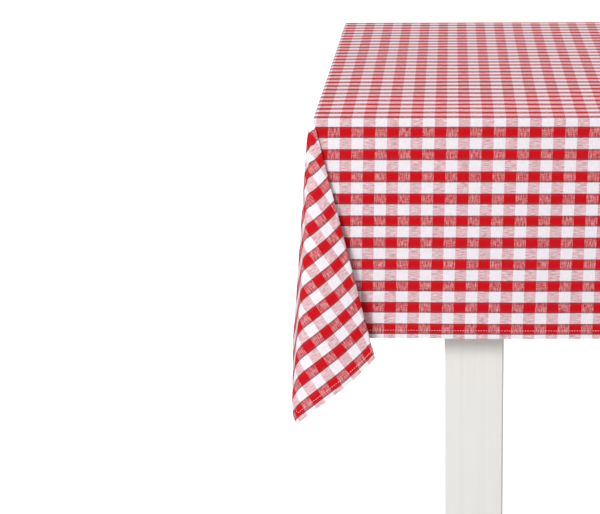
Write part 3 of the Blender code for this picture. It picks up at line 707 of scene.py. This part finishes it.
nylon, nylon_shader = new_material("moulded_nylon", IOR=1.53, Subsurface_Weight=0.1,
                                   Subsurface_Scale=0.002)
place = add_node(nylon, "TexCoord")
texture = add_node(nylon, "TexNoise", {"Vector": place.outputs["Object"],
                                       "Scale": 1 / TEXTURE_SIZE, "Detail": 2.0})
tint = add_node(nylon, "Mix", {0: texture.outputs[0], 6: linear("dcdad2"), 7: linear("e9e7e1")},
                data_type="RGBA")
join(nylon, tint.outputs[2], nylon_shader, "Base Color")
wear = add_node(nylon, "MapRange", {"Value": texture.outputs[0], "To Min": 0.42, "To Max": 0.62})
join(nylon, wear.outputs[0], nylon_shader, "Roughness")
nylon_bump = add_node(nylon, "Bump", {"Strength": 0.25, "Distance": 0.0001,
                                      "Height": texture.outputs[0]})
join(nylon, nylon_bump.outputs[0], nylon_shader, "Normal")
print("metal and plastic:", zinc.name, nylon.name)

# %% Which node has which finish
FINISHES = (
    ("leg_", PAINT["upright"]),
    ("table_top", PAINT["lengthwise"]),
    ("apron_front", PAINT["lengthwise"]),
    ("apron_rear", PAINT["lengthwise"]),
    ("apron_", PAINT["crosswise"]),
    ("cross_rail", PINE[1]),
    ("corner_block_", PINE[0]),
    ("top_button_", BEECH),
    ("glide_nail_", zinc),
    ("glide_", nylon),
    ("", zinc),
)
for name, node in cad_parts.items():
    finish = next(made for start, made in FINISHES if name.startswith(start))
    node.data.materials.clear()
    node.data.materials.append(finish)
print("finished", len(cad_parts), "nodes")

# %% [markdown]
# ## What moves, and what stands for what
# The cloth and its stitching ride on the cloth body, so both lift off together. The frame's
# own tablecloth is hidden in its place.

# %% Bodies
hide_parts("tablecloth")
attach(cloth, "cloth")
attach(stitching, "cloth")
print("the cloth body carries", cloth.name, "and", stitching.name)

# %% [markdown]
# ## Stage and light
# A plain white floor under an even white sky is the flattest studio there is. Both look pure
# white to the camera and give the table less light than that, so that the soft lights still
# shape it. The one from the front left gives the flap its shadow, and the leg the shadow under
# the hem. One overhead lights the board, and one behind keeps the rear from going dark.

# %% Floor and sky
PAPER_GLOW = 0.85                    # added to the paper for the camera only
SKY = 0.32                           # the sky's light on everything but the camera

bpy.ops.object.select_all(action="DESELECT")
bpy.ops.mesh.primitive_plane_add(size=60, location=(0, 0, 0))
floor = bpy.context.object
floor.name = "floor"
paper, paper_shader = new_material("white_paper_sweep", Roughness=0.9, Specular_IOR_Level=0.1,
                                   Base_Color=linear("f4f4f4"), Emission_Color=(1, 1, 1, 1))
seen = add_node(paper, "LightPath").outputs["Is Camera Ray"]
glow = add_node(paper, "Math", {0: seen, 1: PAPER_GLOW}, operation="MULTIPLY")
join(paper, glow.outputs[0], paper_shader, "Emission Strength")
floor.data.materials.append(paper)

world = bpy.data.worlds.new("studio")
world.use_nodes = True
seen = add_node(world, "LightPath").outputs["Is Camera Ray"]
level = add_node(world, "Math", {0: seen, 1: 1 - SKY, 2: SKY}, operation="MULTIPLY_ADD")
sky = world.node_tree.nodes["Background"]
sky.inputs[0].default_value = (1, 1, 1, 1)
world.node_tree.links.new(level.outputs[0], sky.inputs[1])
bpy.context.scene.world = world
print("floor", round(floor.dimensions.x), "m wide; the sky gives", SKY)


# %% Lights
def soft_light(name, place, aim, size, watts):
    """A round soft light of this diameter, turned to face its aim."""
    data = bpy.data.lights.new(name, "AREA")
    data.shape, data.size, data.energy = "DISK", size, watts
    light = bpy.data.objects.new(name, data)
    bpy.context.scene.collection.objects.link(light)
    light.location = place
    light.rotation_euler = (Vector(place) - Vector(aim)).to_track_quat("Z", "Y").to_euler()


soft_light("key", (-2.6, -3.2, 2.6), (0, 0, 0.6), 1.6, 105)
soft_light("overhead", (0, 0.4, 3.4), (0, 0, 0.7), 2.4, 20)
soft_light("fill", (2.6, 3.2, 2.4), (0, 0, 0.6), 2.0, 60)
bpy.context.scene.view_settings.view_transform = "Standard"
print("stage ready, with", len(bpy.data.lights), "lights")
